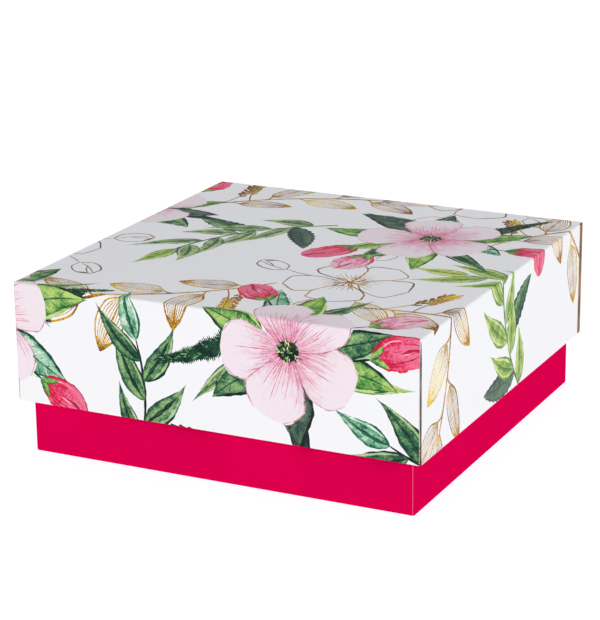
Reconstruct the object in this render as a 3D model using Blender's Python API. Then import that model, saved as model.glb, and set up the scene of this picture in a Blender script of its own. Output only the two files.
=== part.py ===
"""Square flower box: a covered base tray and a lid whose skirt slides down over it.

Both trays are greyboard panels butt-jointed along their edges, held at the corners by
paper stay tapes, covered outside by one folded sheet that turns in over the rim, and
lined inside by a second folded sheet. The lid lifts straight off along +Z.

Frame: metres, +Z up, +X to the right, the front faces -Y. The origin is the centre of
the underside of the base. Run with: blender --background --python part.py
"""

import math

import bmesh
import bpy
from mathutils import Matrix, Vector

MM = 0.001

# Driving dimensions of the closed box.
LID_SIDE = 200.0 * MM
CLOSED_HEIGHT = 82.0 * MM
SKIRT_HEIGHT = 56.5 * MM
LID_OVERHANG = 5.0 * MM

# Sheet stock.
BOARD = 2.0 * MM
WRAP = 0.25 * MM
LINER = 0.25 * MM
TAPE = 0.2 * MM
GLUE_GAP = 0.3 * MM

# How far the sheets reach.
TURN_IN = 20.0 * MM
LINER_BELOW_RIM = 8.0 * MM
TAPE_LEG = 18.0 * MM
TAPE_END_GAP = 0.5 * MM

# Fold radii, measured on the outside of each sheet.
PANEL_FOLD = 0.8 * MM
RIM_FOLD = 0.6 * MM
CORNER_RADIUS = 1.0 * MM
LINER_FOLD = 0.5 * MM
LEAST_RADIUS = 0.08 * MM
FOLD_STEPS = 4

# Depth of each layer below the outside of a covered wall, or of a covered panel.
TAPE_DEPTH = WRAP + GLUE_GAP
WALL_BOARD_DEPTH = TAPE_DEPTH + TAPE + GLUE_GAP
TURN_IN_DEPTH = WALL_BOARD_DEPTH + BOARD + GLUE_GAP
WALL_LINER_DEPTH = TURN_IN_DEPTH + WRAP + GLUE_GAP
PANEL_BOARD_DEPTH = WRAP + GLUE_GAP
PANEL_LINER_DEPTH = PANEL_BOARD_DEPTH + BOARD + GLUE_GAP
PANEL_DEPTH = PANEL_LINER_DEPTH + LINER

BASE_SIDE = LID_SIDE - 2 * LID_OVERHANG
BASE_HEIGHT = CLOSED_HEIGHT - PANEL_DEPTH - GLUE_GAP

# Name, sRGB colour and roughness of each paper and board.
COLOURS = {
    "crimson_paper": ((0.86, 0.0, 0.31), 0.55),
    "printed_paper": ((0.95, 0.95, 0.96), 0.45),
    "white_paper": ((0.93, 0.92, 0.90), 0.7),
    "greyboard": ((0.55, 0.52, 0.48), 0.9),
    "kraft_tape": ((0.72, 0.58, 0.42), 0.8),
}


def clear_scene():
    for obj in list(bpy.data.objects):
        bpy.data.objects.remove(obj)


def linear(channel):
    """One sRGB channel as Blender's linear value."""
    if channel <= 0.04045:
        return channel / 12.92
    return ((channel + 0.055) / 1.055) ** 2.4


def make_materials():
    made = {}
    for name, (colour, roughness) in COLOURS.items():
        material = bpy.data.materials.new(name)
        material.use_nodes = True
        shader = material.node_tree.nodes["Principled BSDF"]
        shader.inputs["Base Color"].default_value = (*map(linear, colour), 1.0)
        shader.inputs["Roughness"].default_value = roughness
        shader.inputs["Metallic"].default_value = 0.0
        made[name] = material
    return made


def empty_at(name, height):
    """The parent of one body, on the line that the lid slides along."""
    empty = bpy.data.objects.new(name, None)
    empty.location = (0, 0, height)
    bpy.context.scene.collection.objects.link(empty)
    return empty


def add_object(name, bm, material, parent, location=(0, 0, 0), turn=0.0):
    """Finishes bm as an object placed in its parent's frame and turned about Z."""
    mesh = bpy.data.meshes.new(name)
    bmesh.ops.recalc_face_normals(bm, faces=bm.faces[:])
    bm.to_mesh(mesh)
    bm.free()
    mesh.materials.append(material)
    mesh.shade_smooth()
    mesh.set_sharp_from_angle(angle=math.radians(35))
    obj = bpy.data.objects.new(name, mesh)
    bpy.context.scene.collection.objects.link(obj)
    obj.parent = parent
    obj.location = location
    obj.rotation_euler = (0, 0, turn)
    return obj


def add_board(name, size, centre, material, parent):
    """A rectangular panel of greyboard, with its origin at its own centre."""
    bm = bmesh.new()
    bmesh.ops.create_cube(bm, size=1.0)
    bmesh.ops.scale(bm, vec=Vector(size), verts=bm.verts[:])
    return add_object(name, bm, material, parent, centre)


def arc(centre, radius, start, end):
    """Points round a quarter turn of a fold, from the angle start to end in degrees."""
    points = []
    for step in range(FOLD_STEPS + 1):
        angle = math.radians(start + (end - start) * step / FOLD_STEPS)
        along = Vector((math.cos(angle), math.sin(angle)))
        points.append(Vector(centre) + radius * along)
    return points


def add_ring(bm, half_side, radius, height):
    """A square loop of vertices with rounded corners."""
    verts = []
    for quarter in range(4):
        turn = Matrix.Rotation(math.radians(90 * quarter), 3, "Z")
        middle = half_side - radius
        for point in arc((middle, middle), radius, 0, 90):
            verts.append(bm.verts.new(turn @ Vector((point.x, point.y, height))))
    return verts


def add_folded_sheet(name, side, profile, corner_radius, upward, material, parent):
    """A sheet folded into a tray and closed at both ends of its profile by the panel.

    Each profile point is (depth from the outside of the wall, height from the outside
    of the panel). upward is 1 where the tray opens upwards and -1 where it opens down.
    """
    bm = bmesh.new()
    rings = []
    for depth, height in profile:
        radius = max(corner_radius - depth, LEAST_RADIUS)
        rings.append(add_ring(bm, side / 2 - depth, radius, upward * height))
    count = len(rings[0])
    for low, high in zip(rings, rings[1:]):
        for i in range(count):
            j = (i + 1) % count
            bm.faces.new((low[i], low[j], high[j], high[i]))
    bm.faces.new(rings[0])
    bm.faces.new(rings[-1])
    return add_object(name, bm, material, parent)


def wrap_profile(height):
    """The covering sheet: panel, wall, over the rim, and the turn-in down the inside."""
    inside = TURN_IN_DEPTH + WRAP
    fold_in = PANEL_FOLD - WRAP
    rim_in = RIM_FOLD - WRAP
    return [
        *arc((PANEL_FOLD, PANEL_FOLD), PANEL_FOLD, 270, 180),
        *arc((RIM_FOLD, height - RIM_FOLD), RIM_FOLD, 180, 90),
        *arc((inside - RIM_FOLD, height - RIM_FOLD), RIM_FOLD, 90, 0),
        Vector((inside, height - TURN_IN)),
        Vector((TURN_IN_DEPTH, height - TURN_IN)),
        *arc((inside - RIM_FOLD, height - RIM_FOLD), rim_in, 0, 90),
        *arc((RIM_FOLD, height - RIM_FOLD), rim_in, 90, 180),
        *arc((PANEL_FOLD, PANEL_FOLD), fold_in, 180, 270),
    ]


def liner_profile(height):
    """The lining sheet: panel and four wall flaps that stop short of the rim."""
    top = height - LINER_BELOW_RIM
    centre = (WALL_LINER_DEPTH + LINER_FOLD, PANEL_LINER_DEPTH + LINER_FOLD)
    return [
        *arc(centre, LINER_FOLD, 270, 180),
        Vector((WALL_LINER_DEPTH, top)),
        Vector((WALL_LINER_DEPTH + LINER, top)),
        *arc(centre, LINER_FOLD - LINER, 180, 270),
    ]


def add_stay(name, side, quarter, bottom, top, material, parent):
    """An L of gummed tape round the outside of one corner of the boards."""
    outside = side / 2 - TAPE_DEPTH
    far = outside - TAPE_LEG
    inside = outside - TAPE
    outline = [(far, outside), (outside, outside), (outside, far)]
    outline += [(inside, far), (inside, inside), (far, inside)]
    bm = bmesh.new()
    face = bm.faces.new([bm.verts.new((x, y, bottom)) for x, y in outline])
    made = bmesh.ops.extrude_face_region(bm, geom=[face])["geom"]
    lifted = [v for v in made if isinstance(v, bmesh.types.BMVert)]
    bmesh.ops.translate(bm, vec=(0, 0, top - bottom), verts=lifted)
    return add_object(name, bm, material, parent, turn=math.radians(90 * quarter))


def add_tray(prefix, side, height, upward, wrap_paper, materials, parent):
    """One covered and lined tray. Its parent sits on the outside of the panel."""
    boards = side - 2 * WALL_BOARD_DEPTH
    panel_middle = upward * (PANEL_BOARD_DEPTH + BOARD / 2)
    wall_low = PANEL_BOARD_DEPTH + BOARD + GLUE_GAP
    wall_high = height - WRAP - GLUE_GAP
    wall_height = wall_high - wall_low
    wall_middle = upward * (wall_low + wall_high) / 2
    across = (boards - BOARD) / 2
    short = boards - 2 * (BOARD + GLUE_GAP)
    grey = materials["greyboard"]

    add_board(
        prefix + "_panel_board", (boards, boards, BOARD), (0, 0, panel_middle), grey, parent
    )
    for where, sign in (("front", -1), ("back", 1)):
        size = (boards, BOARD, wall_height)
        centre = (0, sign * across, wall_middle)
        add_board(f"{prefix}_{where}_board", size, centre, grey, parent)
    for where, sign in (("left", -1), ("right", 1)):
        size = (BOARD, short, wall_height)
        centre = (sign * across, 0, wall_middle)
        add_board(f"{prefix}_{where}_board", size, centre, grey, parent)

    ends = (upward * (wall_low + TAPE_END_GAP), upward * (wall_high - TAPE_END_GAP))
    for quarter, where in enumerate(("back_right", "back_left", "front_left", "front_right")):
        name = f"{prefix}_stay_{where}"
        add_stay(name, side, quarter, min(ends), max(ends), materials["kraft_tape"], parent)

    add_folded_sheet(
        prefix + "_wrap",
        side,
        wrap_profile(height),
        CORNER_RADIUS,
        upward,
        materials[wrap_paper],
        parent,
    )
    add_folded_sheet(
        prefix + "_liner",
        side,
        liner_profile(height),
        WALL_LINER_DEPTH + LINER_FOLD,
        upward,
        materials["white_paper"],
        parent,
    )


def main():
    clear_scene()
    materials = make_materials()
    base = empty_at("base", 0.0)
    lid = empty_at("lid", CLOSED_HEIGHT)
    add_tray("base", BASE_SIDE, BASE_HEIGHT, 1, "crimson_paper", materials, base)
    add_tray("lid", LID_SIDE, SKIRT_HEIGHT, -1, "printed_paper", materials, lid)


main()
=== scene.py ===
"""Looks of the flower box: two paper-covered trays, the lid's one printed with flowers.

The covering papers are real folded sheets with tucked corner ears, rim folds and mitred
turn-ins. The lid's print is drawn on the unfolded sheet, in millimetres from the middle
of its panel, as a pile of ink shapes. The sheet is then cut along their outlines and
folded round the tray, so each flower runs over the folds as it does on printed paper.
"""

import math
import random
from functools import partial

import bpy
import numpy as np
from mathutils import Matrix, Vector
from mathutils.geometry import delaunay_2d_cdt


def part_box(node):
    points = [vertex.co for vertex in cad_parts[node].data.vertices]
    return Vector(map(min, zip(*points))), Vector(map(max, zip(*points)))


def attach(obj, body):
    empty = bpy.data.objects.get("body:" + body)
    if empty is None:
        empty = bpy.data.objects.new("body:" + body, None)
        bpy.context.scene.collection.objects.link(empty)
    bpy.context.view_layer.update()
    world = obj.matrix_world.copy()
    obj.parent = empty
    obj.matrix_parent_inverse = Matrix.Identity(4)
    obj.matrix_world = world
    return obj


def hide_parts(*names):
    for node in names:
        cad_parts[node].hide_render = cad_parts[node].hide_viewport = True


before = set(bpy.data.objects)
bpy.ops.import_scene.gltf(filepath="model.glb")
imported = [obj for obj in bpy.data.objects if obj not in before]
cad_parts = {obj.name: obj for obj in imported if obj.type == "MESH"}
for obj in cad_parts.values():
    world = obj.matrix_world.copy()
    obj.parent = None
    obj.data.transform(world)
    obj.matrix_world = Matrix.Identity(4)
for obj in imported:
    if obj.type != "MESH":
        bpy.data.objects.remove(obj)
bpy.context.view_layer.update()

MM = 0.001
QUARTER = math.pi / 2

# How the sheets are cut and folded, in millimetres.
PANEL_FOLD = 0.8  # the outer radius of the folds round the panel and up the corners
RIM_FOLD = 0.6  # the outer radius of the two folds at the rim
WALL_THICKNESS = 3.6  # from a wall's outer face to the face of its turn-in
PAPER = 0.25
EAR_TUCK = 0.27  # how far an ear lies under the face of the flap that covers it
EAR_LENGTH = 13.0
EAR_TAPER = (3.0, 4.0)  # how much an ear narrows, at the panel's side and at the rim's
TURN_IN = 20.0
MITRE_GAP = 0.1
MITRE_TAPER = 3.0  # how much a turn-in narrows at each end, towards its cut edge
FLAP_GAP = 0.05  # how far a flap's cut edge stays inside the panel's corner
FOLD_LINES = 5
INK_HEIGHT = 0.03

# What counts as nothing: a length and a triangle's doubled area on the sheet, and the
# distance at which two of its points are one.
LEAST_LENGTH = 1e-6
LEAST_AREA = 1e-9
MERGE_DISTANCE = 1e-4

# The material slots of a covering paper: its outer side, its inner side, its cut edges.
OUTER, INNER, CUT_EDGE = range(3)

# The print's half-drop grid, in millimetres on the sheet: the step between groups, how far
# a group may stray from its place, and how far out a group may still reach the sheet.
PRINT_STEP = 78.0
PRINT_SHAKE = 6.0
PRINT_REACH = 135.0
LAYOUT_SEED = 27
DRAWING_SEED = 5

# How full a form's two ends are, and how wide a pen line's two ends, where these repeat.
ROUND_ENDS = (0.5, 0.5)
FINE_ENDS = (0.1, 0.1)
FINE_TIP = (1.0, 0.1)

# The camera: the direction to it and its roll, in degrees, its distance, how far right and
# up of the origin it aims, in metres, and its lens and sensor, in millimetres.
CAMERA_AZIMUTH = 26.36
CAMERA_ELEVATION = 17.57
CAMERA_ROLL = -0.66
CAMERA_DISTANCE = 1.0876
CAMERA_AIM = (-0.0054, 0.0503)
CAMERA_LENS = 131.5
CAMERA_SENSOR = 36.0

# The floor: its side, how far it lies under the box and how much light it gives off.
FLOOR_SIDE = 14.0
FLOOR_DROP = 0.0004
FLOOR_GLOW = 0.88

# Each area light's name, place, size, power and tint. All of them aim at LIGHT_TARGET.
LIGHT_TARGET = (0, 0, 0.04)
COOL_WHITE = (0.97, 0.98, 1.0)
LIGHTS = (
    ("key", (-0.55, -2.0, 0.75), 1.4, 10.2, (1, 1, 1)),
    ("side", (2.1, -0.7, 0.9), 1.4, 15.4, COOL_WHITE),
    ("top", (0.0, 0.9, 2.2), 1.6, 9.0, (1, 1, 1)),
)
WORLD_GLOW = 0.44


# ---------------------------------------------------------------- the folded sheet


class Sheet:
    """The covering sheet of one tray, and where each point of it lies once folded."""

    def __init__(self, node, upward):
        low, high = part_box(node)
        self.upward = upward
        self.half = high.x / MM
        self.height = (high.z - low.z) / MM
        self.panel_z = (low.z if upward > 0 else high.z) / MM
        self.flat = self.half - PANEL_FOLD
        wall = self.height - PANEL_FOLD - RIM_FOLD
        rim = WALL_THICKNESS - 2 * RIM_FOLD
        self.wall_start = self.flat + PANEL_FOLD * QUARTER
        self.wall_end = self.wall_start + wall
        self.rim_start = self.wall_end + RIM_FOLD * QUARTER
        self.rim_end = self.rim_start + rim
        self.turn_start = self.rim_end + RIM_FOLD * QUARTER
        self.end = self.turn_start + TURN_IN - RIM_FOLD
        self.ear_start = self.half - EAR_TUCK - PANEL_FOLD

    def section(self, s, depth):
        """Plan reach and drop below the panel of a flap's point, s along from the middle."""
        fold, rim = PANEL_FOLD - depth, RIM_FOLD - depth
        inner = self.half - WALL_THICKNESS
        low = self.height - RIM_FOLD
        turn = np.clip((s - self.flat) / PANEL_FOLD, 0, QUARTER)
        under = (s - self.wall_end) / RIM_FOLD
        back = (s - self.rim_end) / RIM_FOLD
        level = 0 * s
        stretches = (
            (self.flat, s, depth + level),
            (self.wall_start, self.flat + fold * np.sin(turn), PANEL_FOLD - fold * np.cos(turn)),
            (self.wall_end, self.half - depth + level, PANEL_FOLD + s - self.wall_start),
            (self.rim_start, self.half - RIM_FOLD + rim * np.cos(under), low + rim * np.sin(under)),
            (self.rim_end, self.half - RIM_FOLD - (s - self.rim_start), self.height - depth + level),
            (self.turn_start, inner + RIM_FOLD - rim * np.sin(back), low + rim * np.cos(back)),
            (math.inf, inner + depth + level, low - (s - self.turn_start)),
        )
        ends, reaches, drops = zip(*stretches)
        which = [s < end for end in ends]
        return np.select(which, reaches), np.select(which, drops)

    def fold(self, points, depth):
        """Folded places, in metres, of sheet points at a depth under the sheet's face."""
        u, v = np.abs(points[:, 0]), np.abs(points[:, 1])
        side = u > self.flat + LEAST_LENGTH
        reach_u, drop_u = self.section(u, depth)
        reach_v, drop_v = self.section(v, depth)
        x = np.where(side, reach_u, u)
        y = np.where(side, v, reach_v)
        drop = np.where(side, drop_u, drop_v)

        past_fold = u - self.flat
        past_corner = v - self.ear_start
        ear = side & (past_corner > LEAST_LENGTH)
        round_top = past_fold < PANEL_FOLD * QUARTER - LEAST_LENGTH
        share = past_corner / np.maximum(past_fold, LEAST_LENGTH)
        around = np.where(round_top, QUARTER * share, past_corner / PANEL_FOLD)
        around = np.clip(around, 0, QUARTER)
        tilt = np.clip(past_fold / PANEL_FOLD, 0, QUARTER)
        radius = (PANEL_FOLD - depth) * np.sin(tilt)
        beyond = np.maximum(past_corner - PANEL_FOLD * QUARTER, 0)
        ear_x = self.flat + radius * np.cos(around) - np.where(round_top, 0, beyond)
        ear_y = self.ear_start + radius * np.sin(around)

        x = np.where(ear, ear_x, x) * np.sign(points[:, 0])
        y = np.where(ear, ear_y, y) * np.sign(points[:, 1])
        z = self.panel_z + self.upward * drop
        return np.stack([x, y, z], axis=1) * MM

    def outline(self):
        """The sheet's cut outline, with its flaps, ears and mitred turn-ins."""
        edge = self.flat - FLAP_GAP
        inside = self.half - WALL_THICKNESS - MITRE_GAP
        corner = self.ear_start + PANEL_FOLD * QUARTER
        corner_path = [
            (inside - MITRE_TAPER, self.end),
            (inside, self.rim_end),
            (edge, self.rim_start),
            (edge, self.ear_start),
            (self.flat, self.ear_start),
            (self.wall_start, corner),
            (self.wall_start + EAR_TAPER[0], corner + EAR_LENGTH),
            (self.wall_end - EAR_TAPER[1], corner + EAR_LENGTH),
            (self.wall_end, corner),
            (self.wall_end, self.ear_start),
            (self.rim_start, self.ear_start),
            (self.rim_end, inside - EAR_TUCK),
            (self.end, inside - MITRE_TAPER - EAR_TUCK),
        ]
        points = []
        for sx, sy in ((1, 1), (1, -1), (-1, -1), (-1, 1)):
            points += [(sx * x, sy * y) for x, y in corner_path[:: sx * sy]]
        return np.array(points)

    def fold_lines(self):
        """Lines across the sheet that every fold needs, as pairs of end points."""
        folds = ((self.flat, PANEL_FOLD), (self.wall_end, RIM_FOLD), (self.rim_end, RIM_FOLD))
        levels = [self.flat]
        for start, radius in folds:
            step = radius * QUARTER / FOLD_LINES
            levels += [start + step * k for k in range(FOLD_LINES + 1)]
        lines = []
        for s in levels:
            for sign in (-1, 1):
                lines.append(((-self.flat, sign * s), (self.flat, sign * s)))
                lines.append(((sign * s, -self.end), (sign * s, self.end)))
        step = PANEL_FOLD * QUARTER / FOLD_LINES
        for sx in (-1, 1):
            for sy in (-1, 1):
                apex = (sx * self.flat, sy * self.ear_start)
                for k in range(FOLD_LINES + 1):
                    bend = self.ear_start + step * k
                    start = (sx * self.wall_start, sy * bend)
                    lines.append((apex, start))
                    lines.append((start, (sx * self.wall_end, sy * bend)))
        return lines


def inside_polygon(points, polygon):
    """Which points lie inside a polygon, counted by winding."""
    x, y = points.T[:, :, None]
    x0, y0 = polygon.T[:, None]
    x1, y1 = np.roll(polygon, -1, 0).T[:, None]
    side = (x1 - x0) * (y - y0) - (x - x0) * (y1 - y0)
    up = (y0 <= y) & (y1 > y) & (side > 0)
    down = (y0 > y) & (y1 <= y) & (side < 0)
    return (up.sum(1) - down.sum(1)) != 0


def doubled_area(verts, faces):
    """Twice each flat triangle's area, positive where its corners turn to the left."""
    a, b, c = (verts[faces[:, k]].T for k in range(3))
    (x1, y1), (x2, y2) = b - a, c - a
    return x1 * y2 - y1 * x2


def triangulate(sheet, shapes):
    """Cuts the flat sheet into triangles along its outline, its folds and every shape.

    Their corners go round in the order that faces out once the sheet is folded.
    """
    points, edges = [], []

    def add_points(path):
        points.extend(Vector((float(x), float(y))) for x, y in path)

    def add_path(path, closed):
        first = len(points)
        add_points(path)
        last = len(points)
        edges.extend((i, i + 1) for i in range(first, last - 1))
        if closed:
            edges.append((last - 1, first))

    outline = sheet.outline()
    add_path(outline, True)
    for line in sheet.fold_lines():
        add_path(line, False)
    for shape in shapes:
        add_path(shape.outline, True)
        add_points(shape.marks)
    out = delaunay_2d_cdt(points, edges, [], 0, MERGE_DISTANCE, False)
    verts = np.array([tuple(v) for v in out[0]])
    faces = np.array([f for f in out[2] if len(f) == 3])
    faces = faces[np.abs(doubled_area(verts, faces)) > LEAST_AREA]
    faces = faces[inside_polygon(verts[faces].mean(1), outline)]
    used = np.unique(faces)
    renumber = np.zeros(len(verts), int)
    renumber[used] = np.arange(len(used))
    verts, faces = verts[used], renumber[faces]
    wrong = (doubled_area(verts, faces) < 0) == (sheet.upward < 0)
    faces[wrong] = faces[wrong][:, ::-1]
    return verts, faces


def outward_normals(sheet, verts):
    step = sheet.fold(verts, 0.0) - sheet.fold(verts, PAPER)
    return step / np.linalg.norm(step, axis=1)[:, None]


def new_mesh(name, places, polygons, slots):
    """A smooth-shaded mesh, with a material slot for each polygon."""
    mesh = bpy.data.meshes.new(name)
    mesh.from_pydata([tuple(place) for place in places], [], polygons)
    mesh.polygons.foreach_set("material_index", slots)
    mesh.shade_smooth()
    mesh.update()
    return mesh


def set_vectors(mesh, name, domain, values):
    layer = mesh.attributes.new(name, "FLOAT_VECTOR", domain)
    layer.data.foreach_set("vector", np.asarray(values, np.float32).ravel())


def new_piece(name, mesh, materials, body, slot, *nodes):
    """Puts a finished mesh in the scene as a piece that rides on a body."""
    for material in materials:
        mesh.materials.append(material)
    piece = bpy.data.objects.new(name, mesh)
    bpy.context.scene.collection.objects.link(piece)
    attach(piece, body)
    if nodes:
        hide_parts(*nodes)


def covering_paper(name, sheet):
    """The sheet as a closed solid: printed side out, plain side in, and cut edges."""
    verts, faces = triangulate(sheet, [])
    count = len(verts)
    places = np.concatenate([sheet.fold(verts, 0.0), sheet.fold(verts, PAPER)])
    used = dict.fromkeys(e for a, b, c in faces.tolist() for e in ((a, b), (b, c), (c, a)))
    border = [(a, b) for a, b in used if (b, a) not in used]
    polygons = faces.tolist() + (faces[:, ::-1] + count).tolist()
    polygons += [(b, a, a + count, b + count) for a, b in border]
    slots = [OUTER] * len(faces) + [INNER] * len(faces) + [CUT_EDGE] * len(border)

    mesh = new_mesh(name, places, polygons, slots)
    normals = outward_normals(sheet, verts)
    normals = np.concatenate([normals, -normals])
    corner_normals = []
    for polygon, slot in zip(mesh.polygons, slots):
        for index in polygon.vertices:
            corner_normals.append(tuple(polygon.normal if slot == CUT_EDGE else normals[index]))
    mesh.normals_split_custom_set(corner_normals)
    flat = np.concatenate([verts, verts])
    set_vectors(mesh, "sheet", "POINT", np.pad(flat, ((0, 0), (0, 1))))
    return mesh


# ---------------------------------------------------------------- ink shapes


class Shape:
    """A patch of one ink. Its spine gives every point in it an along and an across.

    Its marks are points inside it where the sheet is cut as well, to carry its shading.
    """

    thin = 0.15  # the least half width, in millimetres, that an across is measured against
    farthest = 1.2  # the farthest across that a point is given

    def __init__(self, ink, outline, spine, widths, marks, seed):
        self.ink = ink
        shape = (np.asarray(part, float) for part in (outline, spine, widths))
        self.outline, self.spine, self.widths = shape
        self.marks = np.asarray(marks, float).reshape(-1, 2)
        self.seed = seed

    def locate(self, points):
        """Along (0 to 1) and across (-1 to 1) of each point, from the nearest of the spine."""
        start = self.spine[:-1][None]
        step = (self.spine[1:] - self.spine[:-1])[None]
        length2 = np.maximum((step**2).sum(2), 1e-12)
        rel = points[:, None] - start
        t = np.clip((rel * step).sum(2) / length2, 0, 1)
        gap = rel - step * t[..., None]
        near = (gap**2).sum(2).argmin(1)
        row = np.arange(len(points))
        t = t[row, near]
        step, rel = step[0][near], rel[row, near]
        offset = (step[:, 0] * rel[:, 1] - step[:, 1] * rel[:, 0]) / np.linalg.norm(step, axis=1)
        place = near + t
        width = np.interp(place, np.arange(len(self.widths)), self.widths)
        across = np.clip(offset / np.maximum(width, self.thin), -self.farthest, self.farthest)
        return place / (len(self.spine) - 1), across

    def at(self, along, across):
        """The sheet point at a share along the spine and a share of its width across."""
        place = along * (len(self.spine) - 1)
        index = np.arange(len(self.spine))
        x = np.interp(place, index, self.spine[:, 0])
        y = np.interp(place, index, self.spine[:, 1])
        width = np.interp(place, index, self.widths)
        k = min(int(place), len(self.spine) - 2)
        step = unit(self.spine[k + 1] - self.spine[k])
        return x - step[1] * width * across, y + step[0] * width * across

    def path(self, *places):
        """The sheet points at several shares (along, across)."""
        return [self.at(*place) for place in places]

    def line(self, across, first, last, count):
        """Evenly spaced sheet points along the shape, at one share across."""
        return [self.at(along, across) for along in np.linspace(first, last, count)]


def polar(centre, reach, angle):
    """The point at a reach and an angle, in degrees, from a centre."""
    return around(centre, reach, math.radians(angle))


def around(centre, reach, angle):
    """The point at a reach and an angle, in radians, from a centre."""
    return centre[0] + reach * math.cos(angle), centre[1] + reach * math.sin(angle)


def bent(base, tip, bend, count):
    """A curve from base to tip that leans to its left by bend."""
    base, tip = np.array(base, float), np.array(tip, float)
    run = tip - base
    left = np.array([-run[1], run[0]]) / np.linalg.norm(run)
    middle = (base + tip) / 2 + left * bend
    t = np.linspace(0, 1, count)[:, None]
    return (1 - t) ** 2 * base + 2 * t * (1 - t) * middle + t**2 * tip


def smooth(points, per_span=3):
    """A Catmull-Rom curve through the points."""
    p = np.array(points, float)
    if len(p) == 2:
        return np.linspace(p[0], p[1], per_span + 1)
    p = np.vstack([2 * p[0] - p[1], p, 2 * p[-1] - p[-2]])
    out = []
    for i in range(1, len(p) - 2):
        for k in range(per_span):
            t = k / per_span
            a = 2 * p[i]
            b = (p[i + 1] - p[i - 1]) * t
            c = (2 * p[i - 1] - 5 * p[i] + 4 * p[i + 1] - p[i + 2]) * t**2
            d = (3 * p[i] - p[i - 1] - 3 * p[i + 1] + p[i + 2]) * t**3
            out.append((a + b + c + d) / 2)
    out.append(p[-2])
    return np.array(out)


def unit(vector):
    return vector / np.linalg.norm(vector)


def normals_of(spine):
    step = np.gradient(spine, axis=0)
    step = step / np.maximum(np.linalg.norm(step, axis=1), 1e-9)[:, None]
    return np.stack([-step[:, 1], step[:, 0]], axis=1)


def end_heading(stem):
    """The unit direction in which a stem ends."""
    return unit(stem[-1] - stem[-4])


def leaf_places(stem, count, first=0.14, last=0.9):
    """Where leaves leave a stem: its point, its heading there and the side they take."""
    normal = normals_of(stem)
    for k in range(count):
        i = round((len(stem) - 1) * (first + (last - first) * k / (count - 1)))
        heading = np.array([normal[i][1], -normal[i][0]])
        side = 1 if k % 2 else -1
        yield stem[i], heading, side * normal[i], side


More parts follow.
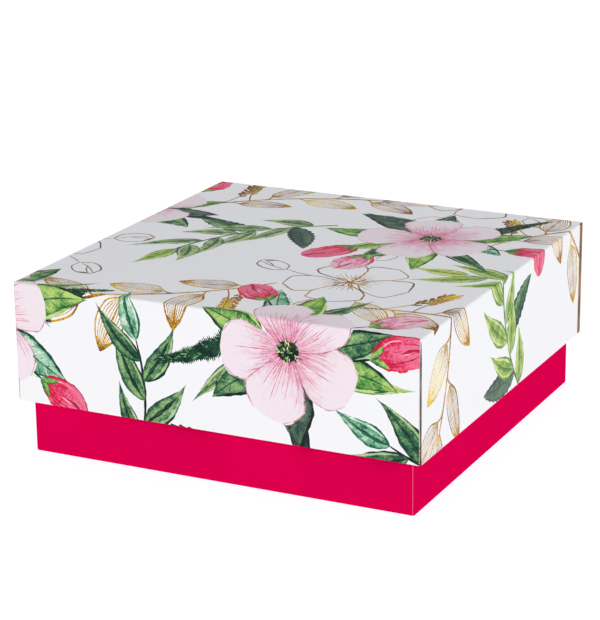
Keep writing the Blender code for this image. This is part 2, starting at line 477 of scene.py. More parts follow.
class Art:
    """The ordered pile of ink shapes. A later shape covers an earlier one.

    Its dice set the groups out, and its shake roughens each shape as it is drawn.
    """

    def __init__(self):
        self.shapes = []
        self.dice = random.Random(LAYOUT_SEED)
        self.shake = random.Random(DRAWING_SEED)
        self.vary = self.shake.uniform

    def band(self, ink, spine, widths, marks=(), rough=0.0):
        """A shape from a spine and its half width at each point. Without ink it is a guide."""
        side = normals_of(spine)
        wide = np.asarray(widths)[:, None]
        shake = np.array([[self.vary(-rough, rough) for _ in range(2)] for _ in spine])
        shake = shake * np.minimum(wide, 1.0)
        left = spine + side * (wide + shake[:, :1])
        right = spine - side * (wide + shake[:, 1:])
        shape = Shape(ink, np.vstack([left, right[::-1]]), spine, widths, marks, self.shake.random())
        if ink:
            self.shapes.append(shape)
        return shape

    def stroke(self, ink, points, width, taper=(0.4, 0.2), rough=0.12, curve=True):
        """A pen line. taper is its width at each end as a share of its full width."""
        spine = smooth(points) if curve else np.array(points, float)
        t = np.linspace(0, 1, len(spine))
        swell = np.minimum(taper[0] + t * 5, 1) * np.minimum(taper[1] + (1 - t) * 5, 1)
        phase = self.shake.random() * 6
        swell = swell * (1 + rough * np.sin(t * len(spine) * 1.9 + phase))
        self.band(ink, spine, width / 2 * swell)

    def form(
        self, ink, base, tip, width, bend=0.0, fullness=(0.7, 0.8), wobble=0.0, count=18, rough=0.0
    ):
        """A leaf, petal or bud: pointed or blunt at each end as its two powers say."""
        spine = bent(base, tip, bend, count)
        t = np.linspace(0, 1, count)
        p, q = fullness
        peak = (p / (p + q)) ** p * (q / (p + q)) ** q
        widths = width / 2 * t**p * (1 - t) ** q / peak
        phase = self.shake.random() * 6
        widths = widths * (1 + wobble * np.sin(t * 17 + phase) * np.sin(t * 7.3 + 2 * phase))
        side = normals_of(spine) * widths[:, None]
        marks = [(spine + side * across)[3:-3:3] for across in (-0.75, -0.35, 0, 0.35, 0.75)]
        return self.band(ink, spine, np.maximum(widths, 0.02), np.vstack(marks), rough)

    # ---- painted motifs

    def leaf(self, base, tip, width, bend, kind):
        """A painted leaf with a dark edge on one side, a pale one on the other, and veins."""
        body = self.form(kind, base, tip, width, bend, (0.66, 1.15), 0.07, 30, 0.35)
        for k in range(6):
            along = 0.1 + 0.11 * k
            for side in (-1, 1):
                path = [body.at(along + 0.02 * j, side * 0.14 * j) for j in (0, 3, 5)]
                ink = kind + ("_light" if (k + side) % 3 else "_vein")
                self.stroke(ink, path, 0.34, FINE_TIP, 0.4)
        pale, dark = body.line(-0.9, 0.1, 0.8, 5), body.line(0.95, 0.02, 0.97, 7)
        self.stroke(kind + "_light", pale, max(width * 0.09, 0.5), FINE_ENDS, 0.3)
        self.stroke(kind + "_edge", dark, max(width * 0.075, 0.5), (0.3, 0.1), 0.35)
        self.stroke(kind + "_vein", body.line(0.06, 0.0, 0.92, 5), 0.8, FINE_TIP, 0.3)
        self.stroke(kind + "_edge", body.line(0, 0.0, 0.5, 4), 0.4, FINE_TIP, 0.3)

    def slender(self, base, tip, width, bend, kind):
        """A long narrow leaf with a soft dark middle and one or two pale sides."""
        body = self.form(kind, base, tip, width, bend, (0.85, 1.7), 0.04, 24, 0.2)
        for side in (-1,) if kind in ("deep", "ink", "teal") else (-1, 1):
            pale = body.line(side * 0.72, 0.12, 0.85, 4)
            self.stroke(kind + "_light", pale, width * 0.12, FINE_ENDS, 0.3)
        self.stroke(kind + "_vein", body.line(0.1, 0.06, 0.7, 4), width * 0.16, (0.2, 0.1), 0.4)
        self.stroke(kind + "_edge", body.line(0, 0.0, 0.8, 4), 0.4, (0.6, 0.1))

    def bud(self, base, tip, width, bend, kind):
        """A closed bud of lapped petals on a small green cup."""
        body = self.form(kind, base, tip, width, bend, ROUND_ENDS, 0.06, 30, 0.3)
        deep, shine = kind + "_deep", kind + "_shine"
        self.stroke(deep, body.line(0.97, 0.05, 0.97, 6), 0.45, (0.5, 0.5), 0.4)
        for side, wide, reach in ((-1, 0.6, 0.98), (1, 0.5, 0.9)):
            ends = body.path((0.03, side * 0.2), (reach, side * 0.12))
            petal = self.form(kind, *ends, width * wide, 0, (0.55, 0.6), 0.1, 22, 0.3)
            self.stroke(deep, petal.line(-side * 0.97, 0.15, 0.98, 5), 0.5, (0.2, 0.6), 0.5)
            for k in range(4):
                along, across = 0.2 + 0.16 * k, 0.25 * k
                near, far = (along, side * (0.5 - across)), (along + 0.16, side * (0.55 - across))
                self.stroke(deep, petal.path(near, far), 0.3, (0.3, 0.1))
        fold = body.path((0.5, -0.02), (0.7, 0.1), (0.86, 0.0), (0.99, 0.02))
        self.stroke(deep, fold, width * 0.085, (0.1, 0.3), 0.2)
        self.stroke(shine, body.path((0.42, -0.14), (0.68, -0.05)), width * 0.045, FINE_ENDS)
        self.stroke(shine, body.path((0.2, 0.6), (0.38, 0.74), (0.55, 0.7)), 0.7, FINE_ENDS)
        base, tip = np.array(base, float), np.array(tip, float)
        run = unit(tip - base)
        left = np.array([-run[1], run[0]])
        for side in (-1, 1):
            end = base + run * width * 0.42 + left * side * width * 0.32
            self.form("mid", base - run * 1.4, end, width * 0.2, -side * width * 0.07, rough=0.2)

    def petal(self, centre, angle, length, width, bend):
        """One open petal, with fine lines that fan out from its base."""
        tip = polar(centre, length, angle)
        body = self.form("petal", centre, tip, width, bend, (0.95, 0.4), 0.06, 34, 0.4)
        for k in range(13):
            side = -0.86 + 1.72 * k / 12 + self.vary(-0.05, 0.05)
            reach = self.vary(0.34, 0.8)
            path = body.path((0.1, side), (reach * 0.6, side * 0.96), (reach, side * 0.92))
            self.stroke("petal_streak", path, self.vary(0.2, 0.4), (0.8, 0.05), 0.4)
        for side in (-1, 1):
            self.stroke("petal_rim", body.line(side * 0.99, 0.06, 0.97, 7), 0.42, (1.4, 0.4), 0.6)

    def blossom(self, centre, petals):
        """A painted blossom. Each petal is (angle, length, width, bend)."""
        for petal in petals:
            self.petal(centre, *petal)
        for k in range(26):
            a = 2 * math.pi * k / 26 + self.vary(-0.1, 0.1)
            reach = self.vary(4.6, 8.2)
            ink = "crimson_deep" if k % 3 else "stamen_dark"
            self.stroke(ink, [around(centre, 2.2, a), around(centre, reach, a + 0.15)], 0.4, (1.0, 0.4))
        x, y = centre
        self.form("stamen_dark", (x - 5.2, y - 0.6), (x + 5.2, y + 0.6), 9.6, 0, ROUND_ENDS, 0.09)
        for k in range(48):
            a = self.vary(0, 2 * math.pi)
            speck = around(centre, 5.6 * math.sqrt(self.shake.random()), a)
            turn = a + self.vary(-0.5, 0.5)
            size = self.vary(0.5, 1.15)
            ends = around(speck, -size, turn), around(speck, size, turn)
            ink = ("stamen_green", "stamen_pale", "stamen_dark")[k % 3]
            self.form(ink, *ends, size * 0.75, 0, ROUND_ENDS, 0, 7)

    def serrated(self, base, tip, width, bend, kind):
        """A leaf with a toothed edge."""
        teeth = 9
        spine = bent(base, tip, bend, teeth * 4 + 1)
        t = np.linspace(0, 1, len(spine))
        widths = width / 2 * np.sin(np.pi * t**0.75) ** 0.8
        saw = 1 - 0.22 * ((np.arange(len(spine)) % 4) / 4)
        body = self.band(kind, spine, np.maximum(widths * saw, 0.03), spine[2:-2:3])
        for k in range(teeth - 2):
            along = 0.1 + 0.78 * k / teeth
            for side in (-1, 1):
                vein = body.path((along, 0), (along + 0.1, side * 0.75))
                self.stroke(kind + "_vein", vein, 0.35, FINE_TIP)
        rib = body.path((0, 0), (0.3, 0), (0.6, 0), (0.9, 0))
        self.stroke(kind + "_vein", rib, 0.5, (1, 0.2))

    def fir(self, base, tip, width, bend):
        """A fir sprig: a dense dark brush, with needle tips that break its outline."""
        spine = bent(base, tip, bend, 90)
        t = np.linspace(0, 1, 90)
        widths = width / 2 * (0.35 + np.minimum(t * 7, 0.65)) * (1 - t) ** 0.62
        brush = widths * (1 + 0.12 * np.sin(t * 23)) * (0.7 + 0.32 * (np.arange(90) % 2))
        body = self.band("fir", spine, np.maximum(brush, 0.05), spine[3:-3:6], 0.5)
        length = np.linalg.norm(spine[-1] - spine[0])
        for k in range(int(length * 4)):
            along = self.vary(0.0, 0.93)
            side = self.vary(-1.0, 1.0)
            lean = self.vary(0.9, 2.2) / length
            push = side * self.vary(0.15, 0.45)
            needle = body.path((along, side * 0.9), (along + lean, side + push))
            ink = ("fir_light", "fir_dark", "fir")[k % 3]
            self.stroke(ink, needle, self.vary(0.45, 0.75), FINE_TIP, curve=False)

    # ---- gold line motifs

    def ring(self, ink, body, width, start=0.0):
        """The outline of a form, drawn as two pen lines from its base to its tip."""
        for side in (-1, 1):
            share = 1.0 if side > 0 else 0.75
            self.stroke(ink, body.line(side, start, 1.0, 7), width * share, (1.0, 0.7))

    def gold_leaf(self, base, tip, width, bend, ink="gold"):
        """A leaf drawn in gold: outline, fine stripes and a filled tip."""
        stripes = 8
        body = self.form("paper", base, tip, width, bend, (0.6, 0.85), 0.03, 22)
        for k in range(stripes):
            across = -0.74 + 1.48 * k / (stripes - 1)
            wide = 0.85 if k == stripes // 2 else 0.42
            path = [body.at(t, across) for t in (0.03, 0.3, 0.65, 0.93)]
            self.stroke(ink, path, wide, (0.6, 0.4), 0.3)
        self.ring(ink, body, 1.0)
        outline = body.path((0.8, 0.9), (0.89, 0.1), (0.78, -0.9), (0.9, -1), (1.0, -1), (0.9, 1))
        spine = body.path((0.8, 0), (1.0, 0))
        self.shapes.append(Shape(ink, outline, spine, [width * 0.2, 0.1], (), 0.3))

    def gold_petal(self, centre, angle, length, width, bend):
        start, tip = polar(centre, 4, angle), polar(centre, length, angle)
        body = self.form("paper", start, tip, width, bend, (0.75, 0.38), wobble=0.04, count=22)
        self.ring("bronze", body, 0.85, 0.02)
        for k in range(5):
            side = -0.6 + 0.3 * k
            reach = self.vary(0.28, 0.45)
            path = body.path((0.06, side), (reach * 0.6, side), (reach, side * 0.94))
            self.stroke("gold", path, 0.35, (0.9, 0.1))

    def gold_blossom(self, centre, petals):
        """An outlined blossom. Each petal is (angle, length, width, bend)."""
        for petal in petals:
            self.gold_petal(centre, *petal)
        for k in range(13):
            a = 2 * math.pi * k / 13 + self.vary(-0.2, 0.2)
            reach = self.vary(4.5, 8.5)
            bow = self.vary(-0.4, 0.4)
            middle, end = around(centre, reach * 0.6, a + bow * 0.5), around(centre, reach, a + bow)
            self.stroke("gold", [around(centre, 1, a), middle, end], 0.85, (1.0, 0.9))
            self.form("gold", end, around(end, 1.5, a + bow + 0.8), 1.1, 0, ROUND_ENDS, 0, 8)
        x, y = centre
        self.form("gold", (x - 1.8, y - 0.4), (x + 1.8, y + 0.4), 2.6, 0, ROUND_ENDS, 0.1, 12)

    def gold_bud(self, base, tip, width, bend):
        """An outlined bud with a forked fold line and a filled wedge near its tip."""
        body = self.form("", base, tip, width, bend, ROUND_ENDS, count=20)
        self.ring("bronze", body, 0.75)
        self.stroke("bronze", body.path((0.1, 0.1), (0.45, 0.2), (0.96, 0.62)), 0.55)
        self.stroke("bronze", body.path((0.4, 0.18), (0.62, -0.1), (0.92, -0.3)), 0.55)
        wedge = body.path((0.985, 0.1), (0.95, -0.9), (0.7, -1.0), (0.84, -0.45))
        spine = body.path((0.7, -0.7), (1.0, -0.5))
        self.shapes.append(Shape("bronze", wedge, spine, [1, 1], (), 0.2))

    def sprig(self, base, tip, bend, ink="bronze_fill"):
        """A wheat-like sprig: slim grains on alternate sides of a stem's outer part."""
        stem = bent(base, tip, bend, 40)
        self.stroke("bronze", stem, 0.7, (1.0, 0.8), curve=False)
        for point, heading, out, side in leaf_places(stem, 10, 0.42, 0.96):
            end = point + self.vary(4.4, 5.4) * heading + self.vary(2.2, 3.0) * out
            self.form(ink, point, end, 2.0, side * 0.4, (0.8, 0.6), 0.1, 14, 0.2)
        end = stem[-1] + 5.5 * end_heading(stem)
        self.form(ink, stem[-1], end, 2.0, 0, (0.8, 0.6), 0.1, 14, 0.2)


# ---------------------------------------------------------------- the print's layout


def petal_ring(dice, turn, sway, lengths, widths):
    """Five petals as (angle, length, width, bend), each a little out of step."""
    petals = []
    for k in range(5):
        angle = turn + 72 * k + dice.uniform(-sway, sway)
        petals.append((angle, dice.uniform(*lengths), dice.uniform(*widths), dice.uniform(-2, 2)))
    return petals


def bouquet(art, centre, turn):
    """A painted blossom on a bed of leaves, with buds on stems and a fir sprig."""
    pick, at = art.dice.uniform, partial(polar, centre)
    for k, kind in enumerate(("grass", "deep", "sage", "ink")):
        angle = turn + 90 * k + pick(15, 55)
        tip = at(pick(54, 68), angle + pick(-12, 12))
        art.slender(at(16, angle), tip, pick(8, 12), pick(-6, 6), kind)
    art.fir(at(26, turn + 205), at(68, turn + 222), 13, 4)
    kinds = ("mid", "deep", "fresh", "teal", "mid", "deep", "slate")
    for k, kind in enumerate(kinds):
        angle = turn + 360 * k / len(kinds) + pick(-14, 14)
        tip = at(pick(42, 58), angle + pick(-18, 18))
        art.leaf(at(12, angle), tip, pick(13, 18), pick(-6, 6), kind)
    for place, kind in ((28, "crimson"), (66, "rose"), (158, "crimson")):
        angle = turn + place + pick(-8, 8)
        base = at(pick(36, 42), angle)
        stem = [at(14, angle - 12), at(28, angle - 4), base]
        art.stroke("deep_edge", stem, 1.1, (1.0, 0.6))
        art.bud(base, at(67, angle + 5), pick(15, 18), 1.5, kind)
    art.blossom(centre, petal_ring(art.dice, turn, 7, (32, 37), (24, 29)))


def gold_flower(art, centre, turn):
    """An outlined blossom with two outlined buds and two leaves on fine stems."""
    pick, at = art.dice.uniform, partial(polar, centre)
    for k, ink in enumerate(("gold", "gold_yellow")):
        angle = turn + 200 + 38 * k
        base, tip = at(30, angle), at(64, angle + 8)
        art.stroke("gold", [at(6, angle - 8), at(18, angle - 3), base], 1.1)
        art.gold_leaf(base, tip, 13, 2, ink)
    petals = petal_ring(art.dice, turn, 8, (27, 32), (22, 26))
    for k in range(2):
        angle = turn + 36 + 72 * k
        base = at(36, angle)
        art.stroke("bronze", [at(8, angle), at(24, angle + 4), base], 0.6)
        art.gold_bud(base, at(55, angle - 6), pick(12, 15), 1)
    art.gold_blossom(centre, petals)


def gold_branch(art, centre, turn):
    """A gold stem with striped leaves on alternate sides and two sprigs near its foot."""
    pick, at = art.dice.uniform, partial(polar, centre)
    stem = bent(at(54, turn + 180), at(36, turn), art.dice.choice((-16, 16)), 40)
    for number, (point, heading, out, side) in enumerate(leaf_places(stem, 5)):
        base = point + 5 * heading + 4 * out
        tip = base + pick(22, 26) * heading + pick(15, 20) * out
        art.stroke("gold", [point, point + 3 * heading + out, base], 1.0, (0.8, 0.8))
        ink = ("gold", "gold", "gold_yellow")[number % 3]
        art.gold_leaf(base, tip, pick(11, 14), -2 * side, ink)
    art.gold_leaf(stem[-1], stem[-1] + 36 * end_heading(stem), 14, 2)
    art.stroke("gold", stem, 1.4, (0.5, 0.7), curve=False)
    art.sprig(stem[4], polar(stem[4], 34, turn + 62), -4)
    art.sprig(stem[10], polar(stem[10], 28, turn + 78), 3, "gold_yellow")


def leaf_spray(art, centre, turn):
    """A thin curved stem with long leaves on alternate sides and two toothed ones."""
    pick, at = art.dice.uniform, partial(polar, centre)
    green, tip_green = art.dice.choice((("grass", "lime"), ("sage", "grass"), ("deep", "teal")))
    stem = bent(at(52, turn + 180), at(34, turn), art.dice.choice((-20, 20)), 40)
    for foot, aside, kind in ((stem[9], 70, "slate"), (stem[18], -70, "deep")):
        art.serrated(foot, polar(foot, 38, turn + aside), 14, 3, kind)
    art.stroke(green + "_edge", stem, 1.2, (1.0, 0.5), curve=False)
    for point, heading, out, side in leaf_places(stem, 8):
        tip = point + pick(24, 34) * heading + pick(14, 20) * out
        art.slender(point, tip, pick(8, 12), 4 * side, green)
    art.slender(stem[-1], stem[-1] + 30 * end_heading(stem), 10, 2, tip_green)


def lay_out_print(art):
    """Sets the groups out on a half-drop grid, as a paper is printed, back groups first.

    Every second column is shifted by half a step. Blossoms take the even columns, painted
    and gold in turn, and branches and sprays take the odd ones.
    """
    layers = ((0, 1, gold_flower), (1, 0, gold_branch), (1, 1, leaf_spray), (0, 0, bouquet))
    for odd_column, odd_row, group in layers:
        for column in range(odd_column - 2, 2, 2):
            for row in range(-2 - odd_row, 3, 2):
                u = (column + 0.5) * PRINT_STEP + art.dice.uniform(-PRINT_SHAKE, PRINT_SHAKE)
                v = (row + 0.5 + 0.5 * odd_column) * PRINT_STEP
                v += art.dice.uniform(-PRINT_SHAKE, PRINT_SHAKE)
                turn = art.dice.uniform(0, 360)
                near, far = sorted((abs(u), abs(v)))
                if near < PRINT_REACH and far < PRINT_REACH + PRINT_STEP / 2:
                    group(art, (u, v), turn)


def corner_lines(art):
    """A painted shadow line at the front flap's cut edge on the side's ear, and a back stripe."""
    # edge_shadow is painted shade: a dark stroke where the seam between the flaps lies in shadow.
    art.stroke("edge_shadow", [(101, -99.7), (130, -99.65), (157, -99.6)], 0.7, (0.4, 1.0))
    middle, half_width = 97.9, 2.7
    stripe = np.array([(u, middle) for u in (99.5, 130.0, 158.0)])
    art.band("bronze", stripe, [half_width] * 3)


def topmost_shapes(art, centres):
    """The number of the shape that covers each point of the sheet, or -1 for bare paper."""
    owner = np.full(len(centres), -1)
    by_x = np.argsort(centres[:, 0])
    sorted_x = centres[by_x, 0]
    for number, shape in enumerate(art.shapes):
        low, high = shape.outline.min(0), shape.outline.max(0)
        first, last = np.searchsorted(sorted_x, (low[0], high[0]))
        near = by_x[first:last]
        near = near[(centres[near, 1] > low[1]) & (centres[near, 1] < high[1])]
        if len(near):
            owner[near[inside_polygon(centres[near], shape.outline)]] = number
    return owner


def printed_layer(name, sheet, art, inks):
    """The print: the sheet's face cut along every ink shape and folded with the sheet."""
    verts, faces = triangulate(sheet, art.shapes)
    owner = topmost_shapes(art, verts[faces].mean(1))
    names = ["paper"] + sorted({shape.ink for shape in art.shapes} - {"paper"})
    slots = np.zeros(len(faces), np.int32)
    local = np.zeros((len(faces), 3, 3))
    by_owner = np.argsort(owner, kind="stable")
    starts = np.searchsorted(owner[by_owner], range(len(art.shapes) + 1))
    for number, shape in enumerate(art.shapes):
        mine = by_owner[starts[number] : starts[number + 1]]
        if len(mine):
            slots[mine] = names.index(shape.ink)
            along, across = shape.locate(verts[faces[mine]].reshape(-1, 2))
            seed = np.full(len(along), shape.seed)
            local[mine] = np.column_stack([along, across, seed]).reshape(-1, 3, 3)

    mesh = new_mesh(name, sheet.fold(verts, -INK_HEIGHT), faces.tolist(), slots)
    mesh.normals_split_custom_set_from_vertices([tuple(n) for n in outward_normals(sheet, verts)])
    set_vectors(mesh, "sheet", "POINT", np.pad(verts, ((0, 0), (0, 1))))
    set_vectors(mesh, "local", "CORNER", local.reshape(-1, 3))
    return mesh, [inks[n] for n in names]


# ---------------------------------------------------------------- materials


def colour(red, green, blue):
    """An 8-bit display colour as Blender's linear colour."""
    def channel(value):
        value = value / 255
        return value / 12.92 if value <= 0.04045 else ((value + 0.055) / 1.055) ** 2.4
    return (channel(red), channel(green), channel(blue), 1.0)


class Shader:
    """A material's node tree, built call by call."""

    def __init__(self, name, roughness=0.5, specular=0.12):
        self.material = bpy.data.materials.new(name)
        self.material.use_nodes = True
        self.nodes = self.material.node_tree.nodes
        self.links = self.material.node_tree.links
        self.surface = self.nodes["Principled BSDF"]
        self.feed(self.surface, {"Roughness": roughness, "Specular IOR Level": specular})

    def feed(self, node, sockets):
        """Links or sets a node's input sockets, given by their names or their numbers."""
        for key, value in sockets.items():
            if isinstance(value, bpy.types.NodeSocket):
                self.links.new(value, node.inputs[key])
            else:
                node.inputs[key].default_value = value

    def node(self, kind, sockets):
        node = self.nodes.new("ShaderNode" + kind)
        self.feed(node, sockets)
        return node

    def math(self, operation, a, b=0.0, clamp=False):
        node = self.node("Math", {0: a, 1: b})
        node.operation = operation
        node.use_clamp = clamp
        return node.outputs[0]

    def plus(self, a, b):
        return self.math("ADD", a, b)

    def minus(self, a, b, clamp=False):
        return self.math("SUBTRACT", a, b, clamp)

    def times(self, a, b):
        return self.math("MULTIPLY", a, b)

    def object_place(self):
        """The place in the object's own frame, in metres."""
        return self.nodes.new("ShaderNodeTexCoord").outputs["Object"]

    def attribute(self, name):
        node = self.nodes.new("ShaderNodeAttribute")
        node.attribute_name = name
        return node.outputs["Vector"]

    def split(self, vector):
        return self.node("SeparateXYZ", {0: vector}).outputs

    def join(self, x, y, z):
        return self.node("CombineXYZ", {0: x, 1: y, 2: z}).outputs[0]

    def noise(self, vector, scale, detail, rough=0.5):
        sockets = {"Vector": vector, "Scale": scale, "Detail": detail, "Roughness": rough}
        return self.node("TexNoise", sockets).outputs[0]

    def spread(self, value, low, high, out_low=0.0, out_high=1.0):
        """The value's stretch from low to high, eased to the stretch between the outs."""
        sockets = {"From Min": low, "From Max": high, "To Min": out_low, "To Max": out_high}
        node = self.node("MapRange", {"Value": value, **sockets})
        node.interpolation_type = "SMOOTHSTEP"
        return node.outputs[0]

    def ramp(self, value, *stops):
        node = self.node("ValToRGB", {0: value})
        elements = node.color_ramp.elements
        while len(elements) < len(stops):
            elements.new(0.5)
        for element, (place, shade) in zip(elements, stops):
            element.position = place
            element.color = shade
        return node.outputs[0]

    def mix(self, share, first, second):
        node = self.node("Mix", {0: share})
        node.data_type = "RGBA"
        self.feed(node, {6: first, 7: second})
        return node.outputs[2]

    def bump(self, height, distance, strength):
        sockets = {"Distance": distance, "Strength": strength, "Height": height}
        self.feed(self.surface, {"Normal": self.node("Bump", sockets).outputs[0]})

    def gloss(self, value, low, high):
        """Roughness from low to high as a noise value rises."""
        self.feed(self.surface, {"Roughness": self.spread(value, 0.3, 0.7, low, high)})

    def paint(self, tint):
        self.feed(self.surface, {"Base Color": tint})
        return self.material


def coated_relief(shader, place):
    """The faint relief and uneven gloss of coated paper that is glued over board."""
    fibre = shader.noise(place, 1.6, 4.0, 0.6)
    wave = shader.noise(place, 0.06, 2.0, 0.4)
    shader.bump(shader.plus(shader.times(fibre, 0.12), wave), 0.00008, 0.35)
    shader.gloss(fibre, 0.36, 0.5)


def paper_ink():
    shader = Shader("paper_white")
    place = shader.attribute("sheet")
    mottle = shader.noise(place, 0.9, 5.0, 0.65)
    tint = shader.ramp(mottle, (0.3, colour(243, 243, 246)), (0.7, colour(249, 249, 251)))
    coated_relief(shader, place)
    return shader.paint(tint)


def wash_ink(name, dark, mid, light, pool=0.5, lean=0.22):
    """Watercolour that pools darker at its edges and clouds along the shape."""
    shader = Shader(name)
    place = shader.attribute("sheet")
    across, seed = shader.split(shader.attribute("local"))[1:]
    cloud = shader.noise(place, 0.17, 4.0, 0.6)
    grain = shader.noise(place, 0.95, 5.0, 0.72)
    tone = shader.times(across, lean)
    for part, share in ((cloud, 1.7), (grain, 1.3), (seed, 0.25)):
        tone = shader.plus(tone, shader.times(part, share))
    rim = shader.spread(shader.math("ABSOLUTE", across), 0.55, 1.0, 0.0, pool)
    tone = shader.minus(shader.minus(tone, rim), 1.15, True)
    tint = shader.ramp(tone, (0.1, dark), (0.42, mid), (0.82, light))
    coated_relief(shader, place)
    return shader.paint(tint)


def streak_ink(name, base, middle, tip, streak, strength, mottle):
    """Petal paint: from its base colour to its tip colour, with clouds and fine lines."""
    shader = Shader(name)
    place = shader.attribute("sheet")
    along, across, seed = shader.split(shader.attribute("local"))
    cloud = shader.noise(place, 0.22, 4.0, 0.65)
    grain = shader.noise(place, 0.85, 5.0, 0.72)
    drift = shader.times(shader.minus(cloud, 0.5), 2.2 * mottle)
    speck = shader.times(shader.minus(grain, 0.5), 2.6 * mottle)
    tone = shader.plus(shader.times(seed, 0.2), shader.plus(drift, speck))
    rim = shader.spread(shader.math("ABSOLUTE", across), 0.75, 1.0, 0.0, 0.14)
    reach = shader.minus(shader.plus(along, tone), rim)
    tint = shader.ramp(reach, (0.08, base), (0.36, middle), (0.72, tip))
    stretch = shader.join(shader.times(across, 7.0), shader.times(along, 0.8), shader.times(seed, 40))
    lines = shader.spread(shader.noise(stretch, 1.6, 3.0, 0.6), 0.52, 0.66)
    fade = shader.spread(along, 0.1, 0.9, strength, strength * 0.15)
    tint = shader.mix(shader.times(lines, fade), tint, streak)
    coated_relief(shader, place)
    return shader.paint(tint)


def metal_ink(name, dark, mid, light):
    """Gold printing ink: it drifts from yellow to bronze, and its flakes glint."""
    shader = Shader(name)
    place = shader.attribute("sheet")
    drift = shader.noise(place, 0.045, 2.0, 0.5)
    flake = shader.noise(place, 1.25, 4.0, 0.9)
    tone = shader.plus(shader.times(drift, 2.2), shader.times(flake, 5.0))
    tint = shader.ramp(shader.minus(tone, 3.15, True), (0.15, dark), (0.5, mid), (0.85, light))
    shader.feed(shader.surface, {"Metallic": 0.25})
    shader.gloss(flake, 0.3, 0.55)
    shader.bump(flake, 0.00004, 0.5)
    return shader.paint(tint)


def make_inks():
    """Every ink by name. A kind of leaf or bud has its own edge, vein or deep ink."""
    inks = {"paper": paper_ink()}
    leaves = {
        "mid": ((32, 88, 54), (104, 164, 78), (190, 214, 122)),
        "fresh": ((78, 142, 58), (146, 192, 84), (204, 224, 134)),
        "grass": ((96, 142, 62), (152, 186, 86), (206, 220, 136)),
        "lime": ((128, 166, 56), (180, 204, 84), (224, 232, 146)),
        "sage": ((58, 94, 68), (122, 156, 98), (184, 204, 146)),
        "deep": ((18, 54, 48), (56, 110, 76), (150, 186, 122)),
        "teal": ((30, 96, 74), (126, 188, 152), (224, 240, 224)),
        "slate": ((44, 62, 62), (72, 98, 84), (112, 140, 108)),
        "ink": ((16, 24, 30), (34, 44, 52), (70, 80, 86)),
    }
    for name, (dark, mid, light) in leaves.items():
        edge = colour(*(channel * 0.55 for channel in dark))
        pale = colour(*(channel * 0.5 + 120 for channel in light))
        dark, mid, light = colour(*dark), colour(*mid), colour(*light)
        inks[name] = wash_ink("leaf_" + name, dark, mid, light)
        inks[name + "_edge"] = wash_ink("leaf_edge_" + name, edge, edge, dark, 0.0, 0.0)
        inks[name + "_vein"] = wash_ink("leaf_vein_" + name, dark, dark, mid, 0.0, 0.0)
        inks[name + "_light"] = wash_ink("leaf_light_" + name, mid, light, pale, 0.3, 0.0)
    washes = {
        "fir": ((6, 26, 24), (16, 48, 40), (36, 82, 58)),
        "fir_light": ((48, 108, 66), (88, 156, 96), (152, 198, 134)),
        "fir_dark": ((4, 14, 16), (8, 26, 24), (14, 40, 34)),
        "petal_streak": ((204, 70, 122), (220, 112, 152), (236, 166, 190)),
        "petal_rim": ((160, 74, 110), (210, 142, 168), (236, 196, 210)),
        "rose_deep": ((178, 20, 70), (206, 48, 96), (226, 100, 138)),
        "crimson_deep": ((138, 10, 44), (178, 18, 52), (210, 44, 80)),
        "crimson_shine": ((240, 124, 156), (246, 170, 190), (250, 206, 218)),
        "rose_shine": ((248, 206, 218), (250, 226, 234), (252, 240, 244)),
        "stamen_dark": ((8, 12, 14), (20, 34, 28), (50, 70, 50)),
        "stamen_green": ((54, 96, 60), (110, 160, 92), (166, 204, 128)),
        "stamen_pale": ((170, 200, 130), (214, 226, 168), (240, 240, 206)),
        # painted shade for the seam's shadow at the lid's front corner
        "edge_shadow": ((58, 34, 24), (82, 52, 36), (112, 78, 54)),
    }
    for name, shades in washes.items():
        inks[name] = wash_ink(name, *(colour(*shade) for shade in shades), 0.2, 0.1)
    petals = {
        "petal": ((222, 108, 150), (238, 198, 213), (243, 230, 236), (222, 142, 174), 0.46, 0.42),
        "rose": ((216, 50, 104), (236, 134, 170), (246, 200, 216), (206, 44, 98), 0.5, 0.85),
        "crimson": ((208, 14, 62), (230, 48, 94), (242, 116, 150), (200, 14, 54), 0.5, 0.75),
    }
    for name, (base, middle, tip, streak, strength, mottle) in petals.items():
        shades = [colour(*shade) for shade in (base, middle, tip, streak)]
        inks[name] = streak_ink(name, *shades, strength, mottle)
    metals = {
        "gold": ((88, 46, 14), (192, 126, 24), (248, 206, 48)),
        "gold_yellow": ((134, 84, 14), (226, 180, 24), (252, 226, 66)),
        "bronze": ((58, 30, 18), (116, 68, 28), (206, 146, 44)),
        "bronze_fill": ((88, 46, 18), (152, 90, 28), (216, 152, 52)),
    }
    for name, shades in metals.items():
        inks[name] = metal_ink(name, *(colour(*shade) for shade in shades))
    return inks


def plain_paper(name, first, second, roughness, specular=0.3):
    """Uncoated or matt paper, with fibres that show in its colour and its surface."""
    shader = Shader(name, roughness, specular)
    place = shader.object_place()
    fibre = shader.noise(place, 1800.0, 4.0, 0.7)
    cloud = shader.noise(place, 60.0, 3.0, 0.5)
    blend = shader.plus(shader.times(fibre, 0.6), shader.times(cloud, 0.4))
    shader.bump(fibre, 0.00003, 0.4)
    shader.gloss(fibre, roughness - 0.08, roughness + 0.06)
    return shader.paint(shader.ramp(blend, (0.3, colour(*first)), (0.7, colour(*second))))


def greyboard():
    """Recycled grey board: flecks of darker and lighter fibre."""
    shader = Shader("greyboard_fibre", 0.9, 0.2)
    fleck = shader.noise(shader.object_place(), 900.0, 5.0, 0.8)
    shader.bump(fleck, 0.00012, 0.5)
    dark, mid, light = colour(104, 98, 90), colour(146, 138, 128), colour(180, 174, 164)
    return shader.paint(shader.ramp(fleck, (0.3, dark), (0.55, mid), (0.75, light)))


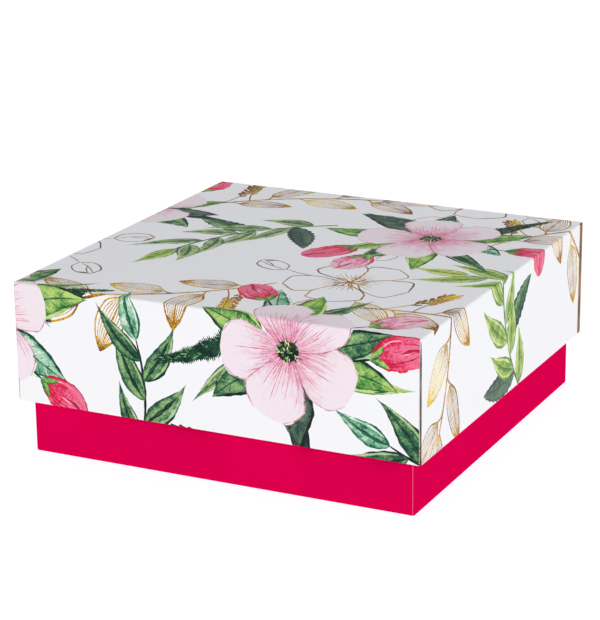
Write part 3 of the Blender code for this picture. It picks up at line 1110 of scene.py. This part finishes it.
def make_papers():
    """Every paper and board that isn't printed, by name."""
    return {
        "crimson": plain_paper("crimson_paper_face", (215, 0, 73), (224, 1, 80), 0.7, 0.0),
        "crimson_edge": plain_paper("crimson_paper_edge", (240, 160, 184), (248, 200, 214), 0.8),
        "paper_back": plain_paper("paper_back", (238, 236, 232), (246, 244, 241), 0.8),
        "lid_edge": plain_paper("printed_paper_edge", (92, 58, 40), (132, 92, 62), 0.8),
        "liner": plain_paper("lining_paper", (236, 234, 229), (246, 244, 240), 0.75),
        "kraft": plain_paper("kraft_tape_face", (170, 132, 92), (190, 154, 112), 0.8),
        "greyboard": greyboard(),
    }


# ---------------------------------------------------------------- assembly


def dress_frame_nodes(papers):
    """Gives each CAD node that still shows its finished material."""
    for name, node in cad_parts.items():
        for part, paper in (("_board", "greyboard"), ("_stay_", "kraft"), ("_liner", "liner")):
            if part in name:
                node.data.materials.clear()
                node.data.materials.append(papers[paper])


def make_base(papers):
    mesh = covering_paper("base_paper", Sheet("base_wrap", 1))
    materials = [papers["crimson"], papers["paper_back"], papers["crimson_edge"]]
    new_piece("base_paper", mesh, materials, "base", "crimson_paper", "base_wrap")


def make_lid(papers, inks):
    sheet = Sheet("lid_wrap", -1)
    sheet.panel_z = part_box("lid_wrap")[1].z / MM
    mesh = covering_paper("lid_paper", sheet)
    materials = [papers["paper_back"], papers["paper_back"], papers["lid_edge"]]
    new_piece("lid_paper", mesh, materials, "lid", "printed_paper", "lid_wrap")
    art = Art()
    lay_out_print(art)
    corner_lines(art)
    mesh, materials = printed_layer("lid_print", sheet, art, inks)
    new_piece("lid_print", mesh, materials, "lid", "printed_paper")


def add_floor():
    bpy.ops.mesh.primitive_plane_add(size=FLOOR_SIDE, location=(0, 0, -FLOOR_DROP))
    floor = bpy.context.object
    floor.name = "floor"
    shader = Shader("studio_floor", 0.9, 0.1)
    cloud = shader.noise(shader.object_place(), 3.0, 2.0)
    shade = shader.ramp(cloud, (0.3, colour(136, 136, 137)), (0.7, colour(139, 139, 140)))
    glow = {"Emission Color": (1, 1, 1, 1), "Emission Strength": FLOOR_GLOW}
    shader.feed(shader.surface, glow)
    floor.data.materials.append(shader.paint(shade))


def add_lights():
    world = bpy.data.worlds.new("studio")
    world.use_nodes = True
    background = world.node_tree.nodes["Background"].inputs
    background["Color"].default_value = (*COOL_WHITE, 1)
    background["Strength"].default_value = WORLD_GLOW
    scene = bpy.context.scene
    scene.world = world
    scene.view_settings.view_transform = "Standard"
    for name, place, size, power, tint in LIGHTS:
        light = bpy.data.lights.new(name, "AREA")
        light.shape = "DISK"
        light.size = size
        light.energy = power
        light.color = tint
        lamp = bpy.data.objects.new(name, light)
        lamp.location = place
        aim = Vector(LIGHT_TARGET) - Vector(place)
        lamp.rotation_euler = aim.to_track_quat("-Z", "Y").to_euler()
        scene.collection.objects.link(lamp)


def add_camera():
    azimuth, elevation = math.radians(CAMERA_AZIMUTH), math.radians(CAMERA_ELEVATION)
    level = math.cos(elevation)
    back = Vector((math.sin(azimuth) * level, -math.cos(azimuth) * level, math.sin(elevation)))
    right = Vector((0, 0, 1)).cross(back).normalized()
    up = back.cross(right)
    roll = Matrix.Rotation(math.radians(CAMERA_ROLL), 3, back)
    right, up = roll @ right, roll @ up
    camera = bpy.data.objects.new("camera", bpy.data.cameras.new("camera"))
    place = back * CAMERA_DISTANCE + right * CAMERA_AIM[0] + up * CAMERA_AIM[1]
    turn = Matrix((right, up, back)).transposed().to_4x4()
    camera.matrix_world = Matrix.Translation(place) @ turn
    camera.data.sensor_width = CAMERA_SENSOR
    camera.data.lens = CAMERA_LENS
    camera.data.clip_start = 0.01
    bpy.context.scene.collection.objects.link(camera)
    bpy.context.scene.camera = camera


papers = make_papers()
dress_frame_nodes(papers)
make_base(papers)
make_lid(papers, make_inks())
add_floor()
add_lights()
add_camera()
